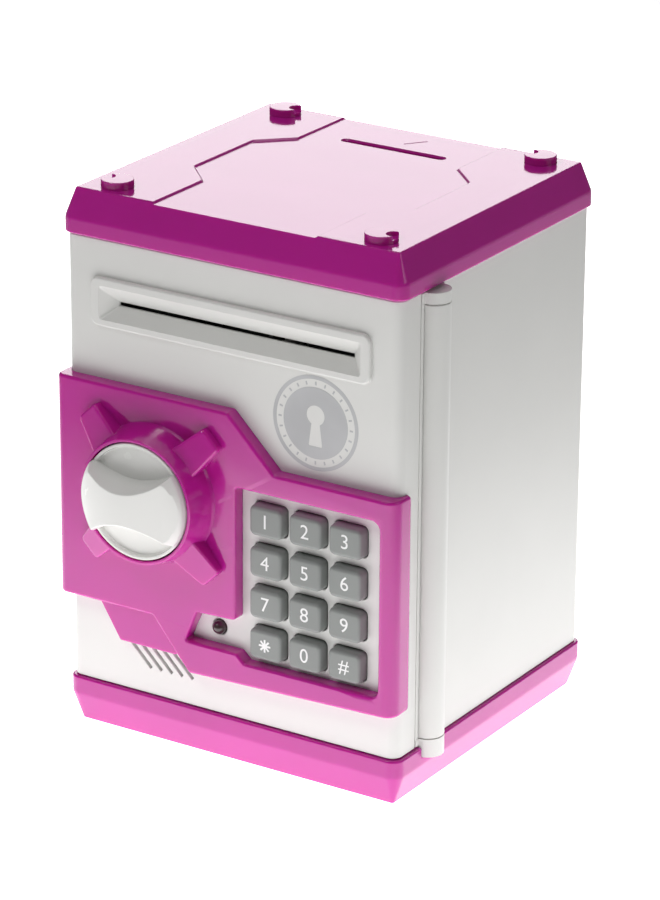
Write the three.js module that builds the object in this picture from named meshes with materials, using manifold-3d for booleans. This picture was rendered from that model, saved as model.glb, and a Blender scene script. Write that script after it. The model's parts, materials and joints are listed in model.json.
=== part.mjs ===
// Toy safe coin bank: a hollow cabinet with a coin slot in its lid, and a hinged front door
// that carries a combination keypad, a turning knob with a latch, and a banknote feeder.
// Millimetres, +Z up. The origin is the centre of the base's underside; the door faces -Y.
import * as THREE from 'three';
import { ConvexGeometry } from 'three/addons/geometries/ConvexGeometry.js';
import { mergeVertices } from 'three/addons/utils/BufferGeometryUtils.js';
import Module from 'manifold-3d';

const wasm = await Module();
wasm.setup();

// ---------------------------------------------------------------- driving dimensions
const band = { halfWidth: 66, halfDepth: 61.5, corner: 4.5 };
const body = { halfWidth: 64.8, halfDepth: 60.3, corner: 3.8, wall: 2 };
const base = { top: 16.7, chamfer: 10.5, inset: 3.7, floor: 2.5 };
const lid = { bottom: 175, bandTop: 180.2, top: 190, inset: 3.8, roof: 2.6, relief: 0.7 };
const shell = { bottom: 17, top: 174.7, front: -46.1 };
const door = { bottom: 17.1, top: 174.6, front: -body.halfDepth, seam: -48.4 };
const plate = { front: -48.1, back: -46.5, halfWidth: 64.6 };
const hinge = {
  x: body.halfWidth, y: -40.6, radius: 5.5, pin: 1.5, clear: 0.4, pinTop: 34, pinBottom: 156,
  pinCap: 172.6,
};
const barrel = { bottom: 19.9, top: 170 };
const lug = { lowest: 13.2, highest: 174.1, gap: 0.3 };
const fascia = { front: -65.3, back: door.front - 0.1, halfWidth: 66.3, wrap: -55, step: -62.8 };
const knob = { x: -27, z: 92.8, disc: 20.1, rim: -76, face: -84.8, shaft: 4.5, floor: -66.4 };
const grip = { reach: 24, end: 20.4, pull: 3.2, draft: 3, dome: 31.8, root: 2, turned: 2.5 };
const collar = { top: 21.7, foot: 24, bore: 20.6, hub: 9 };
const tab = { inner: 21.5, outer: 34.8, halfInner: 5.8, halfOuter: 4.5, high: -71.5, low: -68.3 };
const cam = { front: -43.4, back: -41, hub: 11, reach: 33.5, halfWidth: 4.5, notch: 6, notchHalf: 3.4 };
const key = {
  columns: [16.2, 31.5, 46.8], rows: [91.1, 76.6, 62, 47.6], face: -64.3, width: 12.4, height: 10.7,
  faceWidth: 11.2, faceHeight: 9.5, clear: 0.25, flange: 0.7, flangeFront: -58, flangeBack: -57.2,
  stem: 2.5, stemEnd: -56.4,
};
const led = { x: -4.1, z: 48.4, radius: 2.6, middle: -60.4, back: -55.2 };
const bezel = { halfWidth: 54, low: 145.2, high: 162, front: -61.9, corner: 3 };
const bill = { halfWidth: 45.5, low: 151, high: 154, throat: -56.3 };
const vent = { count: 5, x: -39.8, z: 34.5, pitch: 4.2, run: 7.9, width: 1.1 };
const coinSlot = { x: 1.2, y: 37, length: 40.4, width: 3.2 };
const mark = { x: 3.6, y: 47.6, length: 8.4, width: 0.8, depth: 0.6, degrees: 52 };
const boss = { x: 50.7, y: 50.1, radius: 5.5, step: 1.3, height: 2.7 };
const cell = {
  radius: 7.1, length: 49.2, button: 2.7, buttonLength: 1.3, pitch: 15.4, x: 3.7, y: -42.6, z: 51,
};
const contact = { sheet: 0.4, gap: 0.1, half: 5, bump: 0.6, bumpFoot: 2.6, bumpTip: 2 };
const pocket = { x0: 2.3, x1: 56.5, z0: 43.4, z1: 89.4, floor: -50.1, rim: -35, wall: 1.6 };
const cover = { sheet: 1.6, gap: 0.2, screwX: 29.4, screwZ: 95, boss: 3.6, ear: 4.5, earTop: 99 };
const housing = { halfWidth: 51, z0: 130, z1: 172, rear: -31, wall: 1.5 };
const feeder = { left: -47, right: 12, plate: 1.6, low: 132.4, high: 168, front: -55.6, rear: -34 };
const roller = { radius: 5, axle: 1.5, y: -49.5, lowZ: 147.2, highZ: 157.6, tyres: [[-40, -20], [-8, 10]] };
const gear = { module: 0.7, wide: 16, small: 8, large: 20, layerA: 16, layerB: 19.2, face: 2.5 };
const motor = { x0: 22.2, x1: 46.5, halfDepth: 7.5, halfHeight: 10, shaft: 1, nose: 3, tail: 3.2 };
const solenoid = {
  x0: -37, x1: -17, y0: -46.2, y1: -34.6, z0: 55.2, z1: 78.2, wall: 2, coil: 5.6, bore: 2.5,
};
const plunger = { radius: 2.4, low: 60.2, tip: 81 };
const board = { x0: 3, x1: 60, z0: 36, z1: 104, front: -54.5, back: -52.9 };
const mat = { x0: 6, x1: 58, z0: 40, z1: 98, front: -55.5, back: -54.8 };
const speaker = { x: -27.3, z: 31.2, magnet: 6.5, frame: 11, cone: 9 };
const strike = { low: 82, high: 105, end: 2, inner: -57.3, rear: -36 };
const post = { x: 57.3, rear: 50, front: -22, radius: 4.2, height: 18 };
const doorPost = { x: 58, low: 23.5, high: 167.5, radius: 3.2 };
const screw = { head: 2.7, headHeight: 1.7, shank: 1.4, hole: 1.6, seat: 4.2 };
const clear = 0.08;

// ---------------------------------------------------------------- solids
const solid = (geometry) => {
  const bare = geometry.index ? geometry.toNonIndexed() : geometry.clone();
  bare.deleteAttribute('normal');
  if (bare.hasAttribute('uv')) bare.deleteAttribute('uv');
  const merged = mergeVertices(bare, 1e-4);
  return new wasm.Manifold(new wasm.Mesh({
    numProp: 3,
    vertProperties: new Float32Array(merged.attributes.position.array),
    triVerts: new Uint32Array(merged.index.array),
  }));
};

const union = (...pieces) => pieces.reduce((sum, piece) => sum.add(piece));
const cut = (piece, ...tools) => tools.reduce((rest, tool) => rest.subtract(tool), piece);

const block = (x0, x1, y0, y1, z0, z1) => solid(
  new THREE.BoxGeometry(x1 - x0, y1 - y0, z1 - z0)
    .translate((x0 + x1) / 2, (y0 + y1) / 2, (z0 + z1) / 2),
);

// A round bar along one axis. (a, b) are its other two coordinates, in X, Y, Z order.
const bar = (axis, from, to, a, b, radius, { end = radius, sides = 24 } = {}) => {
  const shape = new THREE.CylinderGeometry(end, radius, to - from, sides).translate(0, (from + to) / 2, 0);
  if (axis === 'x') return solid(shape.rotateZ(-Math.PI / 2).translate(0, a, b));
  if (axis === 'y') return solid(shape.translate(a, 0, b));
  return solid(shape.rotateX(Math.PI / 2).translate(a, b, 0));
};

const polygon = (points) => new THREE.Shape(points.map(([u, v]) => new THREE.Vector2(u, v)));

const roundedRect = (u0, u1, v0, v1, radius) => {
  const shape = new THREE.Shape();
  shape.absarc(u1 - radius, v0 + radius, radius, -Math.PI / 2, 0);
  shape.absarc(u1 - radius, v1 - radius, radius, 0, Math.PI / 2);
  shape.absarc(u0 + radius, v1 - radius, radius, Math.PI / 2, Math.PI);
  shape.absarc(u0 + radius, v0 + radius, radius, Math.PI, Math.PI * 1.5);
  return shape;
};

// A plan outline (x, y) raised from z0 to z1.
const upright = (shape, z0, z1, curveSegments = 4) => solid(
  new THREE.ExtrudeGeometry(shape, { depth: z1 - z0, bevelEnabled: false, curveSegments })
    .translate(0, 0, z0),
);

// A front outline (x, z) carried from y0 back to y1.
const frontal = (shape, y0, y1, curveSegments = 4) => solid(
  new THREE.ExtrudeGeometry(shape, { depth: y1 - y0, bevelEnabled: false, curveSegments })
    .rotateX(Math.PI / 2)
    .translate(0, y1, 0),
);

const hull = (points) => solid(new ConvexGeometry(points.map((p) => new THREE.Vector3(...p))));

// A rectangle at y0 that tapers to another rectangle at y1; each is [x0, x1, z0, z1].
const taper = (near, y0, far, y1) => hull([[near, y0], [far, y1]].flatMap(
  ([[x0, x1, z0, z1], y]) => [[x0, y, z0], [x1, y, z0], [x1, y, z1], [x0, y, z1]],
));

// A spur gear along X, with a tooth centred on `phase` (radians from +Y towards +Z).
const spurGear = (teeth, phase, x0, x1, y, z, bore) => {
  const pitch = (gear.module * teeth) / 2;
  const tip = pitch + gear.module * 0.85;
  const root = pitch - gear.module * 1.15;
  const step = (2 * Math.PI) / teeth;
  const shape = new THREE.Shape();
  for (let i = 0; i < teeth; i += 1) {
    const middle = phase + i * step;
    [[root, -0.31], [tip, -0.1], [tip, 0.1], [root, 0.31]].forEach(([r, part], n) => {
      const angle = middle + part * step;
      const point = [r * Math.cos(angle), r * Math.sin(angle)];
      if (i + n === 0) shape.moveTo(...point);
      else shape.lineTo(...point);
    });
  }
  const wheel = solid(
    new THREE.ExtrudeGeometry(shape, { depth: x1 - x0, bevelEnabled: false })
      .rotateY(Math.PI / 2)
      .rotateX(Math.PI / 2)
      .translate(x0, y, z),
  );
  return bore ? cut(wheel, bar('x', x0 - 1, x1 + 1, y, z, bore, { sides: 16 })) : wheel;
};

// ---------------------------------------------------------------- scene graph
const assembly = new THREE.Group();

const surface = (metalness) => (color, roughness = 0.35) => (
  new THREE.MeshStandardMaterial({ color, roughness, metalness }));
const plastic = surface(0);
const metal = surface(1);
const magenta = () => plastic(0xc0308a, 0.2);
const white = () => plastic(0xe4e4e0, 0.3);
const steel = () => metal(0xb8bcc0);
const rubber = () => plastic(0x868986, 0.75);
const blackRubber = () => plastic(0x2b2b2b, 0.9);

const add = (name, piece, material) => {
  const { vertProperties, triVerts } = piece.getMesh();
  const geometry = new THREE.BufferGeometry();
  geometry.setAttribute('position', new THREE.BufferAttribute(new Float32Array(vertProperties), 3));
  geometry.setIndex(new THREE.BufferAttribute(new Uint32Array(triVerts), 1));
  geometry.computeVertexNormals();
  const mesh = new THREE.Mesh(geometry, material);
  mesh.name = name;
  assembly.add(mesh);
};

// ---------------------------------------------------------------- shared outlines
const bandOutline = () => roundedRect(
  -band.halfWidth, band.halfWidth, -band.halfDepth, band.halfDepth, band.corner,
);

// A slab with the band's outline whose top and bottom edges are chamfered.
const chamferedSlab = (straight, chamfer, inset) => solid(new THREE.ExtrudeGeometry(bandOutline(), {
  depth: straight, bevelEnabled: true, bevelSegments: 1, bevelThickness: chamfer,
  bevelSize: inset, bevelOffset: -inset, curveSegments: 4,
}));

const far = 200;

// ---------------------------------------------------------------- cabinet
const postPlaces = [[-1, post.rear], [1, post.rear], [-1, post.front], [1, post.front]]
  .map(([side, y]) => [side * post.x, y]);

const makeBaseTray = () => {
  const slab = chamferedSlab(base.top - base.chamfer, base.chamfer, base.inset)
    .translate(0, 0, base.chamfer)
    .intersect(block(-far, far, -far, far, 0, base.top));
  const well = upright(roundedRect(-61.3, 61.3, -44, 56.8, 3), base.floor, base.top + 1, 3);
  const sill = block(-59.5, 59.5, -55.4, -46.6, -1, base.top - base.floor);
  const posts = postPlaces.map(([x, y]) => (
    bar('z', base.floor - 0.5, base.top, x, y, post.radius, { sides: 12 })));
  const holes = postPlaces.flatMap(([x, y]) => [
    bar('z', -1, base.top + 1, x, y, screw.hole, { sides: 8 }),
    bar('z', -1, screw.seat, x, y, screw.head + 0.4, { sides: 12 }),
  ]);
  const seatRadius = hinge.radius + hinge.clear;
  const lugSeat = bar('z', lug.lowest - lug.gap, base.top + 1, hinge.x, hinge.y, seatRadius);
  return cut(union(cut(slab, well, sill), ...posts), ...holes, lugSeat);
};

const makeCabinetShell = () => {
  const { halfWidth, halfDepth, corner, wall } = body;
  const outer = roundedRect(-halfWidth, halfWidth, -halfDepth, halfDepth, corner);
  const inner = roundedRect(
    -halfWidth + wall, halfWidth - wall, -halfDepth + wall, halfDepth - wall, corner - wall,
  );
  const walls = cut(
    upright(outer, shell.bottom, shell.top),
    upright(inner, shell.bottom - 1, shell.top + 1),
    block(-far, far, -far, shell.front, 0, far),
  );
  const hingeBarrel = bar('z', barrel.bottom, barrel.top, hinge.x, hinge.y, hinge.radius);
  const postTop = shell.bottom + post.height;
  const posts = postPlaces.map(([x, y]) => {
    const web = [x, Math.sign(x) * (halfWidth - 1)].sort((a, b) => a - b);
    return union(
      bar('z', shell.bottom, postTop, x, y, post.radius, { sides: 12 }),
      block(...web, y - 1, y + 1, shell.bottom, postTop),
    );
  });
  const pilots = postPlaces.map(([x, y]) => (
    bar('z', shell.bottom - 1, shell.bottom + 11, x, y, screw.hole, { sides: 8 })));
  const strikeFront = shell.front + 0.3;
  const { low, high, end } = strike;
  const catches = union(
    block(-halfWidth + 1, strike.inner, strikeFront, cam.front - 0.4, low, high),
    ...[low, high - end].map((z) => (
      block(-halfWidth + 1, -halfWidth + 3.8, strikeFront, strike.rear, z, z + end))),
  );
  const lugSpaces = [[shell.bottom - 1, barrel.bottom], [barrel.top, shell.top + 1]]
    .flatMap(([z0, z1]) => [
      bar('z', z0, z1, hinge.x, hinge.y, hinge.radius + hinge.clear),
      block(54, 75, -50, hinge.y, z0, z1),
    ]);
  const bores = [[barrel.bottom - 1, hinge.pinTop + 2], [hinge.pinBottom - 2, barrel.top + 1]]
    .map(([z0, z1]) => bar('z', z0, z1, hinge.x, hinge.y, hinge.pin + clear, { sides: 20 }));
  return cut(union(cut(walls, ...lugSpaces), hingeBarrel, ...posts, catches), ...pilots, ...bores);
};

const lidPanel = () => {
  const half = [[31.4, -80], [31.4, -29], [42.5, -17.5], [42.5, 17.5], [31.4, 28.5], [31.4, 80]];
  return polygon([...half, ...half.map(([x, y]) => [-x, y]).reverse()]);
};

const makeTopCover = () => {
  const slab = chamferedSlab(lid.bandTop - lid.bottom, lid.top - lid.bandTop, lid.inset)
    .translate(0, 0, lid.bottom)
    .intersect(block(-far, far, -far, far, lid.bottom, lid.top));
  const lip = cut(
    upright(roundedRect(-62.4, 62.4, -30, 57.9, 2), 168, lid.bottom + 0.5, 3),
    upright(roundedRect(-60.8, 60.8, -31, 56.3, 1.5), 167, lid.bottom + 1, 3),
  );
  const ceiling = lid.top - lid.relief - lid.roof;
  const hollow = upright(roundedRect(-60.8, 60.8, -44, 56.3, 1.5), lid.bottom - 1, ceiling, 3);
  const frontHollow = block(-60, 60, -56.5, -47.5, lid.bottom - 1, ceiling);
  const bosses = [[-1, -1], [1, -1], [-1, 1], [1, 1]].map(([sx, sy]) => {
    const [x, y] = [sx * boss.x, sy * boss.y];
    return union(
      bar('z', lid.top - 1, lid.top + boss.step, x, y, boss.radius, { sides: 16 }),
      bar('z', lid.top - 1, lid.top + boss.height, x, y, boss.radius * 0.8, { sides: 16 }),
    );
  });
  const recess = upright(lidPanel(), lid.top - lid.relief, lid.top + 1);
  const slot = upright(roundedRect(
    coinSlot.x - coinSlot.length / 2, coinSlot.x + coinSlot.length / 2,
    coinSlot.y - coinSlot.width / 2, coinSlot.y + coinSlot.width / 2, coinSlot.width / 2 - 0.01,
  ), ceiling - 1, lid.top + 1, 4);
  const groove = block(-mark.length / 2, mark.length / 2, -mark.width / 2, mark.width / 2, 0, 2)
    .rotate([0, 0, mark.degrees])
    .translate(mark.x, mark.y, lid.top - lid.relief - mark.depth);
  return cut(union(cut(slab, hollow, frontHollow, recess), ...bosses, lip), slot, groove);
};

// ---------------------------------------------------------------- door
const doorPostPlaces = [[-1, doorPost.low], [1, doorPost.low], [-1, doorPost.high], [1, doorPost.high]]
  .map(([side, z]) => [side * doorPost.x, z]);
const keyPlaces = key.rows.flatMap((z) => key.columns.map((x) => [x, z]));

const makeDoorFrontShell = () => {
  const { halfWidth, corner, wall } = body;
  const outer = roundedRect(-halfWidth, halfWidth, door.front, door.front + 40, corner);
  const casing = cut(
    upright(outer, door.bottom, door.top),
    block(-far, far, door.seam, far, 0, far),
    block(-halfWidth + wall, halfWidth - wall, door.front + wall, door.seam + 1,
      door.bottom + wall, door.top - wall),
  );
  const bezelFrame = frontal(
    roundedRect(-bezel.halfWidth, bezel.halfWidth, bezel.low, bezel.high, bezel.corner),
    bezel.front, door.front + 0.5,
  );
  const throat = block(-48.5, 48.5, door.front + 1, bill.throat, bill.low - 5, bill.high + 5);
  const posts = doorPostPlaces.map(([x, z]) => (
    bar('y', door.front + 1, door.seam, x, z, doorPost.radius, { sides: 12 })));
  const mouth = [-51, 51, bezel.low + 2, bezel.high - 2.1];
  const gap = [-bill.halfWidth, bill.halfWidth, bill.low, bill.high];
  const funnel = taper(mouth, bezel.front - 0.01, gap, bill.throat - 0.8);
  const slot = taper(gap, bill.throat - 3, gap, bill.throat + 1);
  const pilots = doorPostPlaces.map(([x, z]) => (
    bar('y', -56, door.seam + 1, x, z, screw.hole, { sides: 8 })));
  const [holeFront, holeBack] = [door.front - 1, door.front + wall + 1];
  const keyHoles = keyPlaces.map(([x, z]) => block(
    x - key.width / 2 - key.clear, x + key.width / 2 + key.clear, holeFront, holeBack,
    z - key.height / 2 - key.clear, z + key.height / 2 + key.clear,
  ));
  const slits = Array.from({ length: vent.count }, (_, i) => {
    const x = vent.x + i * vent.pitch;
    const half = vent.width / Math.SQRT2 / 2;
    return frontal(polygon([
      [x - half, vent.z - half], [x + vent.run - half, vent.z - vent.run - half],
      [x + vent.run + half, vent.z - vent.run + half], [x + half, vent.z + half],
    ]), holeFront, holeBack);
  });
  const ledHole = bar('y', holeFront, holeBack, led.x, led.z, led.radius + 0.2, { sides: 16 });
  const knobHole = bar('y', holeFront, holeBack, knob.x, knob.z, knob.shaft + clear, { sides: 32 });
  return cut(
    union(casing, bezelFrame, throat, ...posts),
    funnel, slot, ...pilots, ...keyHoles, ...slits, ledHole, knobHole,
  );
};

const makeDoorBackPlate = () => {
  const sheet = frontal(
    roundedRect(-plate.halfWidth, plate.halfWidth, door.bottom + 0.1, door.top - 0.1, 2),
    plate.front, plate.back, 3,
  );
  const { x0, x1, z0, z1, floor, rim, wall } = pocket;
  const cellBox = block(x0 - wall, x1 + wall, floor - wall, rim, z0 - wall, z1 + wall);
  const cellBay = block(x0, x1, floor, rim + 1, z0, z1);
  const coverBoss = bar('y', plate.front, rim, cover.screwX, cover.screwZ, cover.boss, { sides: 16 });
  const coverPilot = bar('y', -44, rim + 1, cover.screwX, cover.screwZ, screw.hole, { sides: 8 });
  const feederBox = block(
    -housing.halfWidth, housing.halfWidth, plate.front, housing.rear, housing.z0, housing.z1,
  );
  const feederBay = block(
    -housing.halfWidth + housing.wall, housing.halfWidth - housing.wall, plate.front - 1,
    housing.rear - housing.wall, housing.z0 + housing.wall, housing.z1 - housing.wall,
  );
  const exit = block(-46, 46, housing.rear - 3, housing.rear + 1, 149, 156);
  const shaftHole = bar('y', plate.front - 1, plate.back + 1, knob.x, knob.z, knob.shaft + 0.4);
  const screwHoles = doorPostPlaces.map(([x, z]) => (
    bar('y', plate.front - 1, plate.back + 1, x, z, screw.hole, { sides: 8 })));
  const arm = (z0, z1) => block(hinge.x - hinge.radius, hinge.x, plate.front, hinge.y, z0, z1);
  const lowerLug = union(
    bar('z', lug.lowest, barrel.bottom - lug.gap, hinge.x, hinge.y, hinge.radius),
    arm(door.bottom + 0.1, barrel.bottom - lug.gap),
  );
  const upperLug = union(
    bar('z', barrel.top + lug.gap, lug.highest, hinge.x, hinge.y, hinge.radius),
    arm(barrel.top + lug.gap, lug.highest),
  );
  // The lower pin is driven in from below; the upper lug is closed over its pin.
  const pinHoles = [[0, hinge.pinTop], [hinge.pinBottom, hinge.pinCap + 0.1]]
    .map(([z0, z1]) => bar('z', z0, z1, hinge.x, hinge.y, hinge.pin + 0.06, { sides: 20 }));
  return cut(
    union(sheet, cellBox, coverBoss, feederBox, lowerLug, upperLug),
    cellBay, coverPilot, feederBay, exit, shaftHole, ...screwHoles, ...pinHoles,
  );
};

const makeFascia = () => {
  const outline = polygon([
    [-far, 126.7], [2.2, 126.7], [20.2, 108.9], [far, 108.9], [far, 33.6],
    [-13.5, 31], [-18.7, 37], [-27.9, 48.5], [-far, 48.5],
  ]);
  const plan = roundedRect(-fascia.halfWidth, fascia.halfWidth, fascia.front, fascia.front + 60, 5);
  const skin = upright(plan, 20, 140).intersect(frontal(outline, fascia.front, fascia.wrap));
  const lowerStep = polygon([[-52, 49], [-27, 49], [-17.5, 38.6], [-20.5, 35], [-43, 35]]);
  const step = frontal(lowerStep, fascia.step, fascia.back);
  const doorSpace = upright(
    roundedRect(-body.halfWidth - 0.1, body.halfWidth + 0.1, fascia.back, fascia.back + 60, body.corner),
    0, far,
  );
  const opening = frontal(polygon([
    [5.1, 101.3], [60.2, 101.3], [60.2, 40.1], [8.6, 39.7],
    [5.4, 42.6], [-14.9, 42.6], [-10.2, 53.6], [5, 54.2],
  ]), fascia.front - 1, fascia.back + 1);
  const relief = block(-62, -1, fascia.front + 2.4, fascia.back + 1, 58, 122);
  const ring = bar('y', knob.rim, fascia.front + 1, knob.x, knob.z, collar.top,
    { end: collar.foot, sides: 36 });
  const hub = bar('y', fascia.front + 0.5, fascia.back, knob.x, knob.z, collar.hub);
  const tabs = [45, 135, 225, 315].map((degrees) => {
    const turn = new THREE.Matrix4().makeRotationY(THREE.MathUtils.degToRad(-degrees));
    const corners = [[tab.inner, tab.halfInner], [tab.outer, tab.halfOuter]].flatMap(
      ([r, half]) => [-half, half].flatMap((v) => [
        [r, r === tab.outer ? tab.low : tab.high, v * 0.88],
        [r + (r === tab.outer ? 0.6 : 0), fascia.front + 0.5, v],
      ]),
    );
    return hull(corners.map((p) => {
      const v = new THREE.Vector3(...p).applyMatrix4(turn);
      return [v.x + knob.x, v.y, v.z + knob.z];
    }));
  });
  const bore = bar('y', knob.rim - 1, knob.floor, knob.x, knob.z, collar.bore, { sides: 36 });
  const shaftHole = bar('y', knob.floor - 1, fascia.back + 1, knob.x, knob.z, knob.shaft + 0.4);
  const panel = cut(union(skin, step), relief, opening);
  return cut(union(panel, ring, hub, ...tabs), bore, shaftHole, doorSpace);
};

// ---------------------------------------------------------------- knob and latch
const makeKnob = () => {
  const disc = bar('y', knob.rim + 0.2, -70.5, knob.x, knob.z, knob.disc, { sides: 36 });
  // The grip is a waisted band whose flanks lean in towards its domed front.
  const { reach, end, pull, draft, dome, root, turned } = grip;
  const waist = new THREE.Shape();
  waist.moveTo(-reach, -end);
  waist.quadraticCurveTo(0, pull, reach, -end);
  waist.lineTo(reach, end);
  waist.quadraticCurveTo(0, -pull, -reach, end);
  const rise = knob.rim - knob.face;
  const band = solid(new THREE.ExtrudeGeometry(waist, {
    depth: root, bevelEnabled: true, bevelSegments: 1, bevelThickness: rise,
    bevelSize: draft, bevelOffset: -draft, curveSegments: 10,
  })
    .rotateX(Math.PI / 2)
    .rotateY(-THREE.MathUtils.degToRad(turned))
    .translate(knob.x, knob.rim + root, knob.z));
  const front = bar('z', knob.z - reach, knob.z + reach, knob.x, knob.face + dome, dome, { sides: 72 });
  const round = bar('y', knob.face - 1, -71, knob.x, knob.z, knob.disc, { sides: 36 });
  const raised = band.intersect(front).intersect(round);
  const shaft = bar('y', -71, cam.front - 0.2, knob.x, knob.z, knob.shaft, { sides: 32 });
  const spigot = bar('y', cam.front - 0.5, cam.back, knob.x, knob.z, 2.9, { sides: 16 });
  const pilot = bar('y', cam.back - 9, cam.back + 1, knob.x, knob.z, screw.hole, { sides: 8 });
  return cut(union(disc, raised, shaft, spigot), pilot);
};

const makeLatchCam = () => {
  const { front, back, hub, reach, halfWidth, notch, notchHalf } = cam;
  const disc = bar('y', front, back, knob.x, knob.z, hub, { sides: 32 });
  const tongue = block(knob.x - halfWidth, knob.x + halfWidth, front, back, knob.z, knob.z + reach);
  const bore = bar('y', front - 1, back + 1, knob.x, knob.z, 3, { sides: 16 });
  // The plunger enters the lower notch with the knob at rest, and the left one after a quarter turn.
  const mouth = [-hub - 1, -hub + notch];
  const width = [-notchHalf, notchHalf];
  const notches = [[width, mouth], [mouth, width]].map(([[x0, x1], [z0, z1]]) => (
    block(knob.x + x0, knob.x + x1, front - 1, back + 1, knob.z + z0, knob.z + z1)));
  return cut(union(disc, tongue), bore, ...notches);
};

// ---------------------------------------------------------------- keypad
const makeKey = (x, z) => {
  const around = (width, height) => [x - width / 2, x + width / 2, z - height / 2, z + height / 2];
  const face = around(key.faceWidth, key.faceHeight);
  const foot = around(key.width, key.height);
  const rim = around(key.width + key.flange * 2, key.height + key.flange * 2);
  return union(
    taper(face, key.face, foot, door.front - 0.4),
    taper(foot, door.front - 0.4, foot, key.flangeFront + 0.2),
    taper(rim, key.flangeFront, rim, key.flangeBack),
    bar('y', key.flangeBack - 0.3, key.stemEnd, x, z, key.stem, { sides: 8 }),
  );
};

const makeKeypadMat = () => cut(
  block(mat.x0, mat.x1, mat.front, mat.back, mat.z0, mat.z1),
  ...keyPlaces.map(([x, z]) => bar('y', mat.front - 1, mat.back + 1, x, z, key.stem + 0.8, { sides: 8 })),
);

// ---------------------------------------------------------------- screws, pins and cells
// A cross-recess screw: its head rests at `seat` and its shank runs `length` along `sign` of the axis.
const makeScrew = (axis, a, b, seat, sign, length) => {
  const span = (from, to) => [Math.min(from, to), Math.max(from, to)];
  const [h0, h1] = span(seat - sign * screw.headHeight, seat);
  const [s0, s1] = span(seat - sign * 0.5, seat + sign * length);
  const outerFace = seat - sign * screw.headHeight;
  const [r0, r1] = span(outerFace - sign, outerFace + sign * 0.8);
  const cross = [[1.5, 0.3], [0.3, 1.5]].map(([p, q]) => (axis === 'y'
    ? block(a - p, a + p, r0, r1, b - q, b + q)
    : block(a - p, a + p, b - q, b + q, r0, r1)));
  return cut(union(
    bar(axis, h0, h1, a, b, screw.head, { sides: 12 }),
    bar(axis, s0, s1, a, b, screw.shank, { sides: 8 }),
  ), ...cross);
};

// Every other cell faces the other way, with its button to the left.
const makeCell = (index) => {
  const z = cell.z + index * cell.pitch;
  const flip = index % 2 === 1;
  const can0 = flip ? cell.x + cell.buttonLength : cell.x;
  const can1 = can0 + cell.length;
  const button = flip ? [cell.x, can0 + 1] : [can1 - 1, can1 + cell.buttonLength];
  return union(
    bar('x', can0, can1, cell.y, z, cell.radius, { sides: 16 }),
    bar('x', ...button, cell.y, z, cell.button, { sides: 8 }),
  );
};

// A spring-steel contact: side -1 is the left end of the bay, and `cells` lists the cells it touches.
const makeContact = (side, cells) => {
  const { sheet, gap, half, bump, bumpFoot, bumpTip } = contact;
  const x0 = side < 0 ? pocket.x0 + gap : pocket.x1 - gap - sheet;
  const x1 = x0 + sheet;
  const zs = cells.map((index) => cell.z + index * cell.pitch);
  const [low, high] = [Math.min(...zs) - half, Math.max(...zs) + half];
  const strip = block(x0, x1, cell.y - half, cell.y + half, low, high);
  const bumps = zs.map((z) => (side < 0
    ? bar('x', x1 - 0.2, x1 + bump, cell.y, z, bumpFoot, { end: bumpTip, sides: 8 })
    : bar('x', x0 - bump, x0 + 0.2, cell.y, z, bumpTip, { end: bumpFoot, sides: 8 })));
  return union(strip, ...bumps);
};

// ---------------------------------------------------------------- banknote feeder
const pitchRadius = (teeth) => (gear.module * teeth) / 2;
const idlerAngle = THREE.MathUtils.degToRad(-60);
const idlerReach = pitchRadius(gear.wide) + pitchRadius(gear.small);
const idler = {
  y: roller.y + idlerReach * Math.cos(idlerAngle),
  z: roller.lowZ + idlerReach * Math.sin(idlerAngle),
  pin: 1.2,
};
const motorAngle = THREE.MathUtils.degToRad(60);
const motorReach = pitchRadius(gear.large) + pitchRadius(gear.small);
const motorAxis = {
  y: idler.y + motorReach * Math.cos(motorAngle),
  z: idler.z + motorReach * Math.sin(motorAngle),
};

const makeFeedFrame = () => {
  const { left, right, low, high, front, rear } = feeder;
  const cheeks = [left, right].map((x) => block(x, x + feeder.plate, front, rear, low, high));
  const floor = block(left, 48, front + 2, rear, low, low + feeder.plate);
  const lintel = block(left, right + feeder.plate, -41, rear, high - 4, high - 2.4);
  const cradle = block(motor.x0 + 4, motor.x1 - 4, motorAxis.y - 6, motorAxis.y + 6,
    low, motorAxis.z - motor.halfHeight - 0.3);
  const pin = bar('x', right, gear.layerB + gear.face + 0.1, idler.y, idler.z, idler.pin, { sides: 16 });
  const bores = [roller.lowZ, roller.highZ].flatMap((z) => [left, right].map((x) => bar(
    'x', x - 1, x + feeder.plate + 1, roller.y, z, roller.axle + clear, { sides: 20 },
  )));
  const gearWell = block(gear.layerA - 0.6, gear.layerB + gear.face + 0.5,
    front, idler.y + 9, low - 1, low + 3);
  return union(cut(union(...cheeks, floor, lintel, cradle), ...bores, gearWell), pin);
};

const makeFeedMotor = () => {
  const { y, z } = motorAxis;
  const can = bar('x', motor.x0, motor.x1, y, z, motor.halfHeight, { sides: 32 })
    .intersect(block(0, far, y - motor.halfDepth, y + motor.halfDepth, 0, far));
  const nose = bar('x', motor.x0 - 0.4, motor.x0 + 1, y, z, motor.nose, { sides: 16 });
  const tail = bar('x', motor.x1 - 1, motor.x1 + 1.2, y, z, motor.tail, { sides: 16 });
  const bore = bar('x', motor.x0 - 1, motor.x0 + 6, y, z, motor.shaft + clear, { sides: 16 });
  return cut(union(can, nose, tail), bore);
};

const makeTyre = ([x0, x1]) => cut(
  bar('x', x0, x1, roller.y, roller.lowZ, roller.radius),
  bar('x', x0 - 1, x1 + 1, roller.y, roller.lowZ, roller.axle + 0.06, { sides: 20 }),
);

const makeDriveAxle = () => bar(
  'x', feeder.left - 0.4, gear.layerB - 0.5, roller.y, roller.lowZ, roller.axle, { sides: 20 },
);

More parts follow.
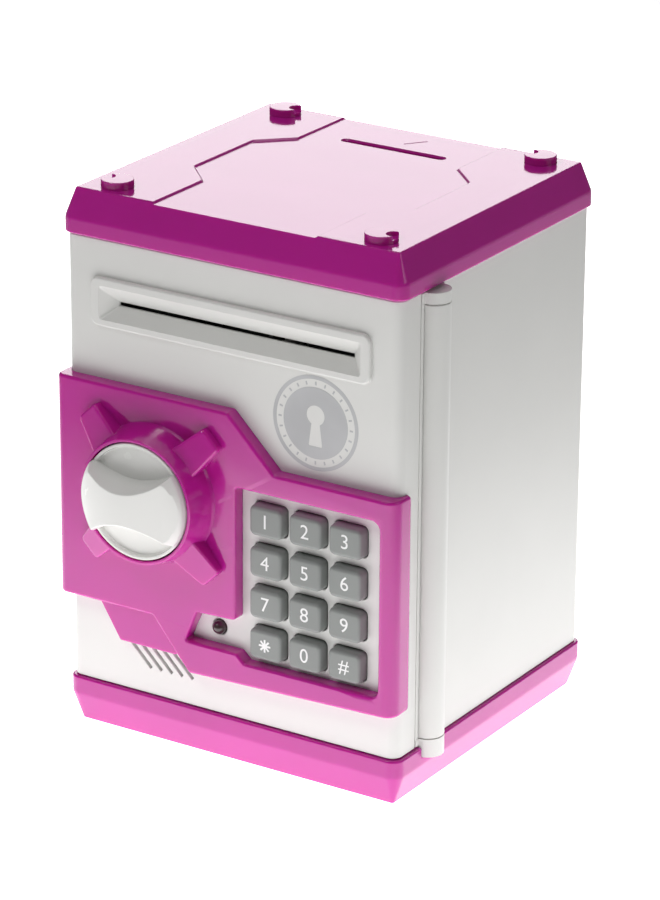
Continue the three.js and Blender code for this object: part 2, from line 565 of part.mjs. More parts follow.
const makePinchRoller = () => union(
  bar('x', feeder.left - 0.4, feeder.right + feeder.plate + 0.6, roller.y, roller.highZ, roller.axle,
    { sides: 20 }),
  ...roller.tyres.map(([x0, x1]) => bar('x', x0, x1, roller.y, roller.highZ, roller.radius)),
);

const makeIdlerGear = () => {
  const step = (teeth) => (2 * Math.PI) / teeth;
  // A gap of the small wheel faces the drive gear, and a tooth of the large one faces the motor.
  const small = spurGear(gear.small, idlerAngle + Math.PI + step(gear.small) / 2,
    gear.layerA, gear.layerB + 0.2, idler.y, idler.z);
  const large = spurGear(gear.large, motorAngle, gear.layerB, gear.layerB + gear.face, idler.y, idler.z);
  const bore = bar('x', gear.layerA - 1, gear.layerB + gear.face + 1, idler.y, idler.z, idler.pin + clear,
    { sides: 16 });
  return cut(union(small, large), bore);
};

const makeMotorPinion = () => {
  const { y, z } = motorAxis;
  const gapFacesIdler = motorAngle + Math.PI + Math.PI / gear.small;
  return union(
    spurGear(gear.small, gapFacesIdler, gear.layerB, gear.layerB + gear.face - 0.2, y, z),
    bar('x', gear.layerB, motor.x0 + 5, y, z, motor.shaft, { sides: 16 }),
  );
};

// ---------------------------------------------------------------- lock, sound and light
const plungerY = (cam.front + cam.back) / 2;

const makePlunger = () => bar(
  'z', plunger.low, plunger.tip, knob.x, plungerY, plunger.radius, { sides: 20 },
);

const makeSolenoid = () => {
  const { x0, x1, y0, y1, z0, z1, wall } = solenoid;
  const yoke = cut(
    block(x0, x1, y0, y1, z0, z1),
    block(x0 + wall, x1 - wall, y0 - 1, y1 + 1, z0 + wall, z1 - wall),
  );
  const coil = bar('z', z0 + 1, z1 - 1, knob.x, (y0 + y1) / 2, solenoid.coil);
  return cut(union(yoke, coil), bar('z', plunger.low - 1, z1 + 1, knob.x, plungerY, solenoid.bore));
};

const makeSpeaker = () => {
  const { x, z } = speaker;
  const magnet = bar('y', -54.2, -51, x, z, speaker.magnet);
  const frame = bar('y', -58.1, -54, x, z, speaker.frame, { end: speaker.frame - 2.5 });
  const cone = bar('y', -59, -56, x, z, speaker.cone, { end: speaker.cone / 3 });
  return cut(union(frame, magnet), cone);
};

const makeLed = () => {
  const { x, z, radius, middle, back } = led;
  return union(
    solid(new THREE.SphereGeometry(radius, 12, 6).translate(x, middle, z)),
    bar('y', middle, back, x, z, radius, { sides: 12 }),
    bar('y', back - 1, back, x, z, radius + 0.6, { sides: 12 }),
  );
};

const makeBoard = () => {
  const panel = block(board.x0, board.x1, board.front, board.back, board.z0, board.z1);
  const chip = block(10, 20, board.back - 0.2, board.back + 0.7, 94, 102);
  return union(panel, chip);
};

const coverBack = pocket.rim + cover.gap + cover.sheet;

const makeBatteryCover = () => {
  const { x0, x1, z0, z1, rim, wall } = pocket;
  const { screwX, screwZ, ear, earTop } = cover;
  const [front, back] = [rim + cover.gap, coverBack];
  const sheet = block(x0 - wall, x1 + wall, front, back, z0 - wall, z1 + wall);
  const tongue = block(screwX - ear, screwX + ear, front, back, z1, earTop);
  const hooks = [14, 40].map((x) => block(x, x + 6, rim - 2, front + 0.3, z0 + 0.3, z0 + 1.5));
  const hole = bar('y', rim, back + 1, screwX, screwZ, screw.hole, { sides: 8 });
  return cut(union(sheet, tongue, ...hooks), hole);
};

// ---------------------------------------------------------------- assembly
add('base_tray', makeBaseTray(), magenta());
add('cabinet_shell', makeCabinetShell(), white());
add('top_cover', makeTopCover(), magenta());
postPlaces.forEach(([x, y], i) => {
  add(`base_screw_${i + 1}`, makeScrew('z', x, y, screw.seat, 1, 18), steel());
});

add('door_front_shell', makeDoorFrontShell(), white());
add('door_back_plate', makeDoorBackPlate(), white());
add('fascia_panel', makeFascia(), magenta());
doorPostPlaces.forEach(([x, z], i) => {
  add(`door_screw_${i + 1}`, makeScrew('y', x, z, plate.back, -1, 7), steel());
});
const makePin = (z0, z1) => bar('z', z0, z1, hinge.x, hinge.y, hinge.pin, { sides: 16 });
add('hinge_pin_upper', makePin(hinge.pinBottom, hinge.pinCap), steel());
add('hinge_pin_lower', makePin(lug.lowest + 0.4, hinge.pinTop), steel());

add('knob', makeKnob(), white());
add('latch_cam', makeLatchCam(), white());
add('latch_screw', makeScrew('y', knob.x, knob.z, cam.back + 0.1, -1, 7.5), steel());
add('lock_solenoid', makeSolenoid(), metal(0x8a8f94));
add('lock_plunger', makePlunger(), steel());

const keyNames = ['1', '2', '3', '4', '5', '6', '7', '8', '9', 'star', '0', 'hash'];
keyPlaces.forEach(([x, z], i) => add(`key_${keyNames[i]}`, makeKey(x, z), rubber()));
add('keypad_mat', makeKeypadMat(), rubber());
add('main_board', makeBoard(), plastic(0x2c6b3a, 0.5));
add('status_led', makeLed(), plastic(0x8c1f2b, 0.15));
add('speaker', makeSpeaker(), metal(0x55585c, 0.5));

[0, 1, 2].forEach((i) => add(`battery_cell_${i + 1}`, makeCell(i), metal(0x3a4a5c, 0.4)));
add('contact_negative', makeContact(-1, [0]), steel());
add('contact_bridge_right', makeContact(1, [0, 1]), steel());
add('contact_bridge_left', makeContact(-1, [1, 2]), steel());
add('contact_positive', makeContact(1, [2]), steel());
add('battery_cover', makeBatteryCover(), white());
add('battery_cover_screw', makeScrew('y', cover.screwX, cover.screwZ, coverBack, -1, 9), steel());

add('feed_frame', makeFeedFrame(), plastic(0x3c3d40, 0.5));
add('feed_motor', makeFeedMotor(), metal(0xa4a8ac));
add('drive_axle', makeDriveAxle(), steel());
add('drive_tyre_left', makeTyre(roller.tyres[0]), blackRubber());
add('drive_tyre_right', makeTyre(roller.tyres[1]), blackRubber());
add('drive_gear', spurGear(gear.wide, idlerAngle, gear.layerA, gear.layerA + gear.face,
  roller.y, roller.lowZ, roller.axle + 0.05), white());
add('pinch_roller', makePinchRoller(), blackRubber());
add('idler_gear', makeIdlerGear(), white());
add('motor_pinion', makeMotorPinion(), plastic(0xd8c27a, 0.4));

export default assembly;
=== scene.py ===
"""Looks for the toy safe coin bank: fine meshes, procedural materials, studio and camera."""

import json
import math

import bmesh
import bpy
from mathutils import Matrix, Vector
from mathutils.geometry import tessellate_polygon


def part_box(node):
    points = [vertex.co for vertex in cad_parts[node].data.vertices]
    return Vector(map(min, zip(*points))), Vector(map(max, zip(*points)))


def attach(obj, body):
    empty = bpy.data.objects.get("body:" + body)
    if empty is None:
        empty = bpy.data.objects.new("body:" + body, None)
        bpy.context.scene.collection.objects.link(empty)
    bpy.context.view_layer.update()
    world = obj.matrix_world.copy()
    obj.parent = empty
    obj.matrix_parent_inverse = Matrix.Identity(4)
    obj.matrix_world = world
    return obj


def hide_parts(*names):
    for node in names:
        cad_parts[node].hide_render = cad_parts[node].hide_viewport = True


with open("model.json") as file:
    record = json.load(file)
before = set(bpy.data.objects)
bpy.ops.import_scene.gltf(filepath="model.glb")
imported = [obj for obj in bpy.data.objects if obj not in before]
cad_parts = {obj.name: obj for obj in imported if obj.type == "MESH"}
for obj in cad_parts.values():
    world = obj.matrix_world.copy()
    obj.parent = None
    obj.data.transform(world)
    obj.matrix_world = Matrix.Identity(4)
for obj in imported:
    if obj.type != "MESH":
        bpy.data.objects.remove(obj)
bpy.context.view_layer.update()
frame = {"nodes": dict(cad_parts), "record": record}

MM = 0.001
WELD = 0.002 * MM
RIM_STEPS = 4
SCREWS = (1, 2, 3, 4)


def box_mm(node):
    """Lowest and highest corner of a CAD node in millimetres."""
    low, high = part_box(node)
    return [v / MM for v in low], [v / MM for v in high]


def middle(node, *axes):
    """Middle of a CAD node in millimetres, along the given axes (0 is x, 1 is y, 2 is z)."""
    low, high = box_mm(node)
    return [(low[a] + high[a]) / 2 for a in axes]


# ---------------------------------------------------------------- places taken from the frame
LID_LOW, LID_HIGH = box_mm("top_cover")
BASE_HIGH = box_mm("base_tray")[1]
WALL_LOW, WALL_HIGH = box_mm("cabinet_shell")
CASE_LOW, CASE_HIGH = box_mm("door_front_shell")
FASCIA_LOW, FASCIA_HIGH = box_mm("fascia_panel")
KNOB_LOW, KNOB_HIGH = box_mm("knob")
LATCH_LOW, LATCH_HIGH = box_mm("latch_cam")

# lid and base: magenta bands of one outline, with a straight band and a chamfer each
BAND_X = BASE_HIGH[0]
BAND_Y = BASE_HIGH[1]
BAND_CORNER = 4.5
BASE_TOP = BASE_HIGH[2]
LID_BOTTOM = 175.0
BAND_HEIGHT = 5.2
BOSS_HEIGHT = 2.7
LID_TOP = LID_HIGH[2] - BOSS_HEIGHT
LID_RELIEF = 0.7

# white body and door: the door's front is WHITE_FRONT, and its back meets the walls at SEAM
CASE_X = CASE_HIGH[0]
BODY_CORNER = 3.8
WALL = 2.0
WHITE_FRONT = -60.3
SEAM = CASE_HIGH[1]
SCREW_POST_R = 4.2
SCREW_BORE_R = 1.6

# hinge: pins in the ends of a round barrel, with a lug of the door above and below it
HINGE_X, HINGE_Y = middle("hinge_pin_upper", 0, 1)
HINGE_R = 5.5
PIN_BORE_R = 1.6
LUG_LOW = box_mm("door_back_plate")[0][2]
BARREL_LOW = 19.9
BARREL_HIGH = 170.0

# fascia: lies on the door's front and ends on the door's sides at WRAP_END
FASCIA_FRONT = -65.3
FASCIA_THICK = 5
FASCIA_SEAT = WHITE_FRONT - 0.1
BEND_RIGHT = 4.5
BEND_LEFT = 3.2
WRAP_END = -55.0

# knob and the collar round it: RIM_Y is the front of the collar's rim
KNOB_X, KNOB_Z = middle("knob", 0, 2)
KNOB_R = (KNOB_HIGH[0] - KNOB_LOW[0]) / 2
RIM_Y = -76.0
BORE_R = 20.6
BORE_FLOOR = -66.3
HUB_R = 9
ROUND_COUNT = 128


# ---------------------------------------------------------------- outlines
def rounded(points, radius, steps=6):
    """A closed outline whose corners are arcs; radius is one number, or one for each corner."""
    count = len(points)
    radii = radius if isinstance(radius, (list, tuple)) else [radius] * count
    outline = []
    for i, (x, y) in enumerate(points):
        here = Vector((x, y))
        back = (Vector(points[i - 1]) - here).normalized()
        ahead = (Vector(points[(i + 1) % count]) - here).normalized()
        half = back.angle(ahead) / 2
        if radii[i] <= 0 or half > math.pi / 2 - 0.01:
            outline.append((x, y))
            continue
        reach = radii[i] / math.tan(half)
        centre = here + (back + ahead).normalized() * radii[i] / math.sin(half)
        start = here + back * reach - centre
        sweep = start.angle_signed(here + ahead * reach - centre)
        for k in range(steps + 1):
            turned = start.copy()
            turned.rotate(Matrix.Rotation(-sweep * k / steps, 2))
            outline.append(tuple(centre + turned))
    return outline


def rectangle(x0, x1, y0, y1, radius=0.0, steps=6):
    return rounded([(x0, y0), (x1, y0), (x1, y1), (x0, y1)], radius, steps)


def circle(x, y, radius, count=64):
    turns = [2 * math.pi * k / count for k in range(count)]
    return [(x + radius * math.cos(a), y + radius * math.sin(a)) for a in turns]


def inset(outline, depth):
    """The outline moved inwards by depth."""
    count = len(outline)
    moved = []
    for i in range(count):
        here = Vector(outline[i])
        before = (here - Vector(outline[i - 1])).normalized()
        after = (Vector(outline[(i + 1) % count]) - here).normalized()
        left_a = Vector((-before.y, before.x))
        left_b = Vector((-after.y, after.x))
        shift = (left_a + left_b) / max(1 + left_a.dot(left_b), 0.2)
        moved.append(tuple(here + shift * depth))
    return moved


# ---------------------------------------------------------------- solids
def upright(u, v, w):
    """Outline in plan (x, y), carried up along z."""
    return (u, v, w)


def frontal(u, v, w):
    """Outline seen from the front (x, z), carried back along y."""
    return (u, w, v)


def make_object(name, verts, faces):
    mesh = bpy.data.meshes.new(name)
    mesh.from_pydata([tuple(c * MM for c in v) for v in verts], [], faces)
    tidy = bmesh.new()
    tidy.from_mesh(mesh)
    bmesh.ops.recalc_face_normals(tidy, faces=tidy.faces)
    tidy.to_mesh(mesh)
    tidy.free()
    obj = bpy.data.objects.new(name, mesh)
    bpy.context.scene.collection.objects.link(obj)
    return obj


def rim_steps(w0, w1, rim0, rim1, steps=RIM_STEPS):
    """(inset, level) pairs from w0 to w1, with a quarter round at each end."""
    quarter = [math.pi / 2 * k / steps for k in range(steps + 1)]
    first, last = [(0, w0)], [(0, w1)]
    if rim0:
        first = [(rim0 * (1 - math.sin(a)), w0 + rim0 * (1 - math.cos(a))) for a in quarter]
    if rim1:
        last = [(rim1 * (1 - math.cos(a)), w1 - rim1 * (1 - math.sin(a))) for a in quarter]
    return first + last


def solid(name, outline, steps, place=upright, holes=()):
    """A closed solid through (inset, level) steps: the outline is moved in by the inset at that level."""
    verts, faces, ends = [], [], [[], []]
    for contour, sign in [(outline, 1)] + [(h, -1) for h in holes]:
        size = len(contour)
        rings = []
        for depth, level in steps:
            moved = inset(contour, sign * depth)
            rings.append(len(verts))
            verts += [place(u, v, level) for u, v in moved]
            if rings[-1] == rings[0] or (depth, level) == steps[-1]:
                ends[0 if rings[-1] == rings[0] else 1].append((rings[-1], moved))
        for a, b in zip(rings, rings[1:]):
            faces += [(a + i, a + (i + 1) % size, b + (i + 1) % size, b + i) for i in range(size)]
    for loops in ends:
        index = [start + i for start, loop in loops for i in range(len(loop))]
        flat = [[Vector((u, v, 0)) for u, v in loop] for _, loop in loops]
        faces += [tuple(index[i] for i in tri) for tri in tessellate_polygon(flat)]
    return make_object(name, verts, faces)


def prism(name, outline, w0, w1, rim0=0.0, rim1=0.0, place=upright, holes=()):
    """A straight solid from w0 to w1, with its end edges rounded by rim0 and rim1."""
    return solid(name, outline, rim_steps(w0, w1, rim0, rim1), place, holes)


def block(name, x0, x1, y0, y1, z0, z1):
    return prism(name, rectangle(x0, x1, y0, y1), z0, z1)


def revolve(name, profile, centre, axis, count):
    """Turns (radius, level) points round an axis through centre.

    A profile that starts at radius 0 closes on the axis. Any other profile closes on itself.
    """
    turns = [2 * math.pi * k / count for k in range(count)]
    verts, faces, rings = [], [], []

    def put(r, level, a):
        s, c = r * math.sin(a), r * math.cos(a)
        return {"y": (centre[0] + c, level, centre[2] + s),
                "z": (centre[0] + c, centre[1] + s, level),
                "x": (level, centre[1] + c, centre[2] + s)}[axis]

    for r, level in profile:
        rings.append((len(verts), r <= 0))
        verts += [put(0, level, 0)] if r <= 0 else [put(r, level, a) for a in turns]
    closed = not rings[0][1]
    pairs = list(zip(rings, rings[1:])) + ([(rings[-1], rings[0])] if closed else [])
    for (a, a_point), (b, b_point) in pairs:
        for i in range(count):
            j = (i + 1) % count
            if a_point:
                faces.append((a, b + i, b + j))
            elif b_point:
                faces.append((a + i, a + j, b))
            else:
                faces.append((a + i, a + j, b + j, b + i))
    return make_object(name, verts, faces)


def rod(name, axis, w0, w1, a, b, radius, rim=0.0, count=48):
    """A round bar along an axis with rounded ends; (a, b) are its other two coordinates."""
    centre = {"x": (0, a, b), "y": (a, 0, b), "z": (a, b, 0)}[axis]
    profile = [(0, w0)] + [(radius - d, w) for d, w in rim_steps(w0, w1, rim, rim)] + [(0, w1)]
    return revolve(name, profile, centre, axis, count)


def apply_modifiers(obj):
    graph = bpy.context.evaluated_depsgraph_get()
    mesh = bpy.data.meshes.new_from_object(obj.evaluated_get(graph))
    obj.modifiers.clear()
    obj.data = mesh
    return obj


def combine(obj, tools, operation):
    """The object joined with, cut by or cut down to its tools, which are used up."""
    for tool in tools:
        step = obj.modifiers.new("step", "BOOLEAN")
        step.operation = operation
        step.solver = "EXACT"
        step.object = tool
    apply_modifiers(obj)
    for tool in tools:
        bpy.data.objects.remove(tool)
    return obj


def join(obj, *tools):
    return combine(obj, tools, "UNION")


def carve(obj, *tools):
    return combine(obj, tools, "DIFFERENCE")


def front_hole(name, outline, flare):
    """A cutter for a hole through the door's front wall, whose front edge is eased by flare."""
    steps = [(-flare, WHITE_FRONT - 1), (-flare, WHITE_FRONT), (0, WHITE_FRONT + flare), (0, WHITE_FRONT + 3)]
    return solid(name, outline, steps, frontal)


def knob_rod(name, w0, w1, radius, rim=0.0, count=48):
    """A round bar on the knob's axis."""
    return rod(name, "y", w0, w1, KNOB_X, KNOB_Z, radius, rim, count)


def hinge_rod(name, w0, w1, radius, rim=0.0, count=48):
    """A round bar on the door's hinge axis."""
    return rod(name, "z", w0, w1, HINGE_X, HINGE_Y, radius, rim, count)


def turned_about_knob(u, v, angle):
    """Place (x, z) of a point that is (u, v) from the knob's axis before a turn about that axis."""
    return (KNOB_X + u * math.cos(angle) - v * math.sin(angle),
            KNOB_Z + u * math.sin(angle) + v * math.cos(angle))


def soften(obj, angle=32):
    """A clean mesh, smooth over round stretches, with flat faces kept flat."""
    work = bmesh.new()
    work.from_mesh(obj.data)
    bmesh.ops.remove_doubles(work, verts=work.verts, dist=WELD)
    bmesh.ops.dissolve_degenerate(work, dist=WELD, edges=work.edges)
    work.to_mesh(obj.data)
    work.free()
    obj.data.shade_smooth()
    obj.data.set_sharp_from_angle(angle=math.radians(angle))
    weigh = obj.modifiers.new("normals", "WEIGHTED_NORMAL")
    weigh.keep_sharp = True
    weigh.weight = 80
    return apply_modifiers(obj)


def finish_piece(obj, material, body, slot, *nodes):
    """Gives a piece its material and body, and hides the CAD nodes that it stands in for; the slot is not
    used.
    """
    obj.data.materials.clear()
    obj.data.materials.append(material)
    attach(obj, body)
    if nodes:
        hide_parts(*nodes)


# ---------------------------------------------------------------- materials
class Nodes:
    """A small helper that adds and links shader nodes."""

    def __init__(self, name):
        self.material = bpy.data.materials.new(name)
        self.material.use_nodes = True
        self.tree = self.material.node_tree
        self.shader = self.tree.nodes["Principled BSDF"]
        self.coords = self.tree.nodes.new("ShaderNodeTexCoord").outputs["Object"]

    def noise(self, scale, detail=2.0, roughness=0.5):
        node = self.tree.nodes.new("ShaderNodeTexNoise")
        node.inputs["Scale"].default_value = scale
        node.inputs["Detail"].default_value = detail
        node.inputs["Roughness"].default_value = roughness
        self.tree.links.new(self.coords, node.inputs["Vector"])
        return node.outputs["Fac"]

    def ramp(self, value, stops):
        node = self.tree.nodes.new("ShaderNodeValToRGB")
        elements = node.color_ramp.elements
        while len(elements) < len(stops):
            elements.new(0.5)
        for element, (position, color) in zip(elements, stops):
            element.position = position
            element.color = (*color, 1)
        self.tree.links.new(value, node.inputs["Fac"])
        return node.outputs["Color"]

    def spread(self, value, low, high):
        node = self.tree.nodes.new("ShaderNodeMapRange")
        node.inputs["To Min"].default_value = low
        node.inputs["To Max"].default_value = high
        self.tree.links.new(value, node.inputs["Value"])
        return node.outputs["Result"]

    def bump(self, value, strength, distance):
        node = self.tree.nodes.new("ShaderNodeBump")
        node.inputs["Strength"].default_value = strength
        node.inputs["Distance"].default_value = distance
        self.tree.links.new(value, node.inputs["Height"])
        self.tree.links.new(node.outputs["Normal"], self.shader.inputs["Normal"])

    def set(self, **values):
        for name, value in values.items():
            socket = self.shader.inputs[name.replace("_", " ")]
            if isinstance(value, bpy.types.NodeSocket):
                self.tree.links.new(value, socket)
            else:
                socket.default_value = value
        return self


def tint(color, share):
    """The colour made lighter or darker by a share."""
    return tuple(min(1.0, c * share) for c in color)


def moulded(name, color, roughness, grain=0.04, coat=0.0, spread=0.03, depth=0.0):
    """Injection-moulded plastic: faint flow mottling, slightly uneven gloss and a fine surface ripple."""
    nodes = Nodes(name)
    flow = nodes.noise(28, 3)
    fine = nodes.noise(420, 2)
    nodes.set(Base_Color=nodes.ramp(flow, [(0.3, tint(color, 1 - spread)), (0.7, tint(color, 1 + spread))]))
    nodes.set(Roughness=nodes.spread(nodes.noise(90, 3), roughness * 0.85, roughness * 1.15))
    nodes.set(Coat_Weight=coat, Coat_Roughness=0.08, IOR=1.5, Subsurface_Weight=depth,
              Subsurface_Radius=(1.0, 0.2, 0.7), Subsurface_Scale=0.004)
    nodes.bump(fine, grain, 0.0002)
    return nodes.material


def brushed(name, color, roughness):
    """Metal with a fine streaked tone and an uneven gloss."""
    nodes = Nodes(name)
    streak = nodes.noise(300, 3)
    nodes.set(Base_Color=nodes.ramp(streak, [(0.3, tint(color, 0.9)), (0.7, tint(color, 1.05))]))
    nodes.set(Roughness=nodes.spread(nodes.noise(600, 2), roughness * 0.8, roughness * 1.25))
    nodes.set(Metallic=1.0)
    nodes.bump(streak, 0.05, 0.0001)
    return nodes.material


MAGENTA = moulded("magenta_plastic", (0.53, 0.012, 0.315), 0.11, 0.03, 0.4, depth=0.5)
WHITE = moulded("white_plastic", (0.79, 0.79, 0.765), 0.33, 0.05, spread=0.012)
KNOB_WHITE = moulded("knob_plastic", (0.82, 0.82, 0.795), 0.26, 0.04, spread=0.012)
KEY_GREY = moulded("key_rubber", (0.26, 0.275, 0.265), 0.5, 0.12, spread=0.05)
GLYPH_WHITE = moulded("glyph_ink", (0.88, 0.88, 0.88), 0.45, 0.05, spread=0.01)
BADGE_GREY = moulded("badge_ink", (0.56, 0.565, 0.575), 0.35, 0.1, spread=0.14)
SILICONE = moulded("silicone_mat", (0.45, 0.45, 0.43), 0.6, 0.1)
STEEL = brushed("steel", (0.62, 0.63, 0.65), 0.3)
BLACK_PLASTIC = moulded("frame_plastic", (0.035, 0.035, 0.038), 0.45, 0.12)
TYRE = moulded("tyre", (0.03, 0.03, 0.03), 0.8, 0.4)
GEAR_WHITE = moulded("gear_plastic", (0.78, 0.77, 0.72), 0.4, 0.05)
BRASS = brushed("brass", (0.72, 0.55, 0.25), 0.3)
BOARD_GREEN = moulded("board", (0.03, 0.16, 0.06), 0.35, 0.15)
LENS = moulded("led_lens", (0.05, 0.03, 0.032), 0.12, 0.02, 0.5)
SPEAKER_BLACK = moulded("speaker", (0.05, 0.05, 0.055), 0.5, 0.2)
CELL_WRAP = moulded("cell_wrap", (0.045, 0.10, 0.19), 0.3, 0.05, 0.2)
YOKE = brushed("solenoid", (0.4, 0.41, 0.43), 0.4)
MOTOR_CAN = brushed("motor_can", (0.55, 0.56, 0.58), 0.32)

BY_SLOT = {
    "steel": STEEL, "silicone_mat": SILICONE, "frame_plastic": BLACK_PLASTIC, "tyre": TYRE,
    "gear_plastic": GEAR_WHITE, "brass": BRASS, "board": BOARD_GREEN, "led_lens": LENS,
    "speaker": SPEAKER_BLACK, "cell_wrap": CELL_WRAP, "solenoid": YOKE, "motor_can": MOTOR_CAN,
    "white_plastic": WHITE, "knob_plastic": KNOB_WHITE, "magenta_plastic": MAGENTA,
}


# ---------------------------------------------------------------- cabinet
def band_outline():
    return rectangle(-BAND_X, BAND_X, -BAND_Y, BAND_Y, BAND_CORNER, 8)


def eased(corners, radius, steps=4):
    """A profile of (inset, level) corners whose inner corners are rounded by one radius or by one each."""
    radii = radius if isinstance(radius, list) else [radius] * (len(corners) - 2)
    return rounded(corners, [0] + radii + [0], steps)


def band_profile(corners):
    """The side of the lid or the base: its outer edges are eased, and its chamfer meets the band softly."""
    return eased(corners, [0.6, 5.0, 0.8], 6)


def make_lid():
    """The lid: a recessed field between raised corners, the coin slot, four bosses and a lip underneath."""
    chamfer = 3.8
    profile = band_profile([(1.4, LID_BOTTOM), (0.0, LID_BOTTOM), (0.0, LID_BOTTOM + BAND_HEIGHT),
                            (chamfer, LID_TOP), (chamfer + 0.6, LID_TOP)])
    lid = solid("lid", band_outline(), profile)
    ceiling = LID_TOP - LID_RELIEF - 2.6
    inside_x, inside_y = 60.8, 56.3
    half = [(31.4, -80), (31.4, -29), (42.5, -17.5), (42.5, 17.5), (31.4, 28.5), (31.4, 80)]
    field = rounded(half + [(-x, y) for x, y in reversed(half)], 0.8, 3)
    relief = solid("relief", field, [(0.6, LID_TOP - LID_RELIEF), (0.2, LID_TOP - LID_RELIEF + 0.12),
                                     (-0.3, LID_TOP - 0.12), (-0.7, LID_TOP), (-0.7, LID_TOP + 1)])
    hollow = prism("hollow", rectangle(-inside_x, inside_x, -44, inside_y, 1.5), LID_BOTTOM - 1, ceiling)
    front_hollow = prism("front_hollow", rectangle(-60, 60, -56.5, -47.5, 1), LID_BOTTOM - 1, ceiling)
    slot_line = rectangle(-19.0, 21.4, 35.4, 38.6, 1.59, 8)
    slot = solid("slot", slot_line, [(0, ceiling - 1), (0, LID_TOP - 1.35),
                                     (-0.35, LID_TOP - 1), (-0.35, LID_TOP + 1)])
    groove_line = [(0.7, 44.1), (1.3, 43.7), (6.6, 50.7), (6.0, 51.1)]
    groove = prism("groove", groove_line, LID_TOP - 1.6, LID_TOP + 1)
    carve(lid, relief, hollow, front_hollow, slot, groove)
    lip_wall = 1.6
    lip_line = rectangle(-inside_x - lip_wall, inside_x + lip_wall, -30, inside_y + lip_wall, 2)
    lip = prism("lip", lip_line, LID_LOW[2], LID_BOTTOM + 0.5, 0.3,
                holes=[rectangle(-inside_x, inside_x, -30 + lip_wall, inside_y, 1)])
    join(lid, lip, *[make_boss(sx, sy) for sx in (-1, 1) for sy in (-1, 1)])
    finish_piece(soften(lid), MAGENTA, "cabinet", "magenta_plastic", "top_cover")


def make_boss(sx, sy):
    """A round corner boss with a stepped top: one side of its head is cut down in a curve."""
    x, y, radius = sx * 50.7, sy * 50.1, 5.5
    boss = rod("boss", "z", LID_TOP - 0.8, LID_TOP + BOSS_HEIGHT, x, y, radius, 0.35)
    turn = 1 if sx * sy < 0 else -1
    notch = prism("notch", circle(x + turn * 4.2, y + 0.6, 2.6, 32), LID_TOP + 1.2, LID_TOP + 6)
    return carve(boss, notch)


def make_base():
    """The base with its coin tray, a sill that is hollow from below, screw posts and a seat for the hinge."""
    profile = band_profile([(4.3, 0.0), (3.7, 0.0), (0.0, 10.5), (0.0, BASE_TOP), (1.2, BASE_TOP)])
    base = solid("base", band_outline(), profile)
    well = prism("well", rectangle(-61.3, 61.3, -44, 56.8, 3), 2.5, BASE_TOP + 1)
    sill = prism("sill", rectangle(-59.5, 59.5, -55.4, -46.6, 1), -1, BASE_TOP - 2.5)
    centres = [middle(f"base_screw_{i}", 0, 1) for i in SCREWS]
    posts = [rod("post", "z", 2.0, BASE_TOP, x, y, SCREW_POST_R, 0.2) for x, y in centres]
    bores = [rod("bore", "z", -1, BASE_TOP + 1, x, y, SCREW_BORE_R) for x, y in centres]
    counters = [rod("counter", "z", -1, 4.2, x, y, 3.1) for x, y in centres]
    seat = hinge_rod("seat", LUG_LOW - 0.3, BASE_TOP + 1, HINGE_R + 0.4)
    carve(base, well, sill)
    join(base, *posts)
    carve(base, seat, *bores, *counters)
    finish_piece(soften(base), MAGENTA, "cabinet", "magenta_plastic", "base_tray")


def make_cabinet_walls():
    """Left, back and right wall in one, with the hinge barrel, the latch's strike and four screw posts."""
    front = WALL_LOW[1]
    x, y = CASE_X, WALL_HIGH[1]
    low, high = WALL_LOW[2], WALL_HIGH[2]
    inner_corner = BODY_CORNER - WALL
    plan = rounded([(-x, front), (-x + WALL, front), (-x + WALL, y - WALL), (x - WALL, y - WALL),
                    (x - WALL, front), (x, front), (x, y), (-x, y)],
                   [0.4, 0, inner_corner, inner_corner, 0, 0.4, BODY_CORNER, BODY_CORNER], 6)
    walls = prism("cabinet_walls", plan, low, high, 0.25, 0.25)
    lug_left, lug_right, lug_front = 54, 75, -50
    spaces = []
    for z0, z1 in ((low - 1, BARREL_LOW), (BARREL_HIGH, high + 1)):
        spaces.append(hinge_rod("space", z0, z1, HINGE_R + 0.4))
        spaces.append(block("space", lug_left, lug_right, lug_front, HINGE_Y, z0, z1))
    carve(walls, *spaces)
    barrel = hinge_rod("barrel", BARREL_LOW, BARREL_HIGH, HINGE_R, 0.35, 64)
    strike_low, strike_high, rib, rib_x, rib_back = 82, 105, 2, -61, -36
    ribs = [block("strike", -x + 1, -57.3, front + 0.3, -43.8, strike_low, strike_high),
            block("rib", -x + 1, rib_x, front + 0.3, rib_back, strike_low, strike_low + rib),
            block("rib", -x + 1, rib_x, front + 0.3, rib_back, strike_high - rib, strike_high)]
    posts, bores = [], []
    post_top, wall_inside = low + 18, 63
    for px, py in [middle(f"base_screw_{i}", 0, 1) for i in SCREWS]:
        side = math.copysign(wall_inside, px)
        posts.append(rod("post", "z", low, post_top, px, py, SCREW_POST_R, 0.3))
        posts.append(block("web", min(px, side), max(px, side), py - 1, py + 1, low, post_top))
        bores.append(rod("bore", "z", low - 1, low + 11, px, py, SCREW_BORE_R))
    lower_pin_end, upper_pin_end = 36, 154
    for z0, z1 in ((BARREL_LOW - 1, lower_pin_end), (upper_pin_end, BARREL_HIGH + 1)):
        bores.append(hinge_rod("bore", z0, z1, PIN_BORE_R))
    join(walls, barrel, *ribs, *posts)
    carve(walls, *bores)
    finish_piece(soften(walls), WHITE, "cabinet", "white_plastic", "cabinet_shell")


